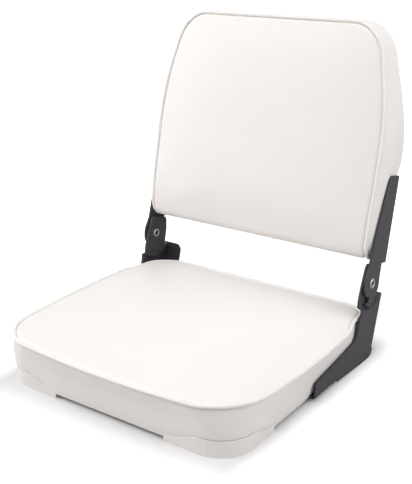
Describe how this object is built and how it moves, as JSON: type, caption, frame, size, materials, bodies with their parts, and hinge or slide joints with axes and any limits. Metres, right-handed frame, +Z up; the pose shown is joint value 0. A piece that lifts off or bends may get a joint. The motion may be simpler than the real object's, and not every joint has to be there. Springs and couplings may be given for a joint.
{
  "type": "folding boat seat",
  "caption": "Low padded boat seat whose backrest folds forward flat on stamped steel side hinges, on a moulded pan with a flat pedestal mounting pad.",
  "frame": {"origin": "middle of the pedestal mounting pad under the pan, level with the feet", "axes": "+X across the seat to the right as seen from the front, +Y to the rear, +Z up"},
  "size_m": [0.4146, 0.4812, 0.4781],
  "materials": {
    "white_vinyl": "soft white marine vinyl with a fine grain",
    "foam": "open-cell upholstery foam",
    "white_plastic": "moulded white plastic",
    "charcoal_steel": "charcoal powder coat",
    "bright_steel": "zinc plated steel",
    "brass": "machined brass",
    "black_nylon": "black nylon",
    "plywood": "marine plywood"
  },
  "bodies": {
    "seat": {"seat_pan": "white_plastic", "seat_foam": "foam", "seat_top_panel": "white_vinyl", "seat_boxing": "white_vinyl", "seat_piping": "white_vinyl", "seat_bracket_right": "charcoal_steel", "seat_bracket_left": "charcoal_steel", "hinge_rivet_right": "bright_steel", "hinge_rivet_left": "bright_steel", "hinge_washer_right": "black_nylon", "hinge_washer_left": "black_nylon", "pan_screw_right_front": "bright_steel", "pan_insert_right_front": "brass", "pan_screw_right_rear": "bright_steel", "pan_insert_right_rear": "brass", "pan_screw_left_front": "bright_steel", "pan_insert_left_front": "brass", "pan_screw_left_rear": "bright_steel", "pan_insert_left_rear": "brass", "pedestal_insert_right_front": "brass", "pedestal_insert_right_rear": "brass", "pedestal_insert_left_front": "brass", "pedestal_insert_left_rear": "brass", "rear_flange_screw_right": "bright_steel", "rear_flange_insert_right": "brass", "rear_flange_screw_left": "bright_steel", "rear_flange_insert_left": "brass"},
    "backrest": {"back_board": "plywood", "back_foam": "foam", "back_front_panel": "white_vinyl", "back_rear_cover": "white_vinyl", "back_piping": "white_vinyl", "back_bracket_right": "charcoal_steel", "back_bracket_left": "charcoal_steel", "back_screw_right_lower": "bright_steel", "back_insert_right_lower": "brass", "back_screw_right_upper": "bright_steel", "back_insert_right_upper": "brass", "back_screw_left_lower": "bright_steel", "back_insert_left_lower": "brass", "back_screw_left_upper": "bright_steel", "back_insert_left_upper": "brass"}
  },
  "joints": [
    {"name": "backrest_fold", "type": "hinge", "parent": "seat", "child": "backrest", "pos_m": [0, 0.16929, 0.11873], "axis": [1, 0, 0], "range_deg": [0, 100]}
  ]
}
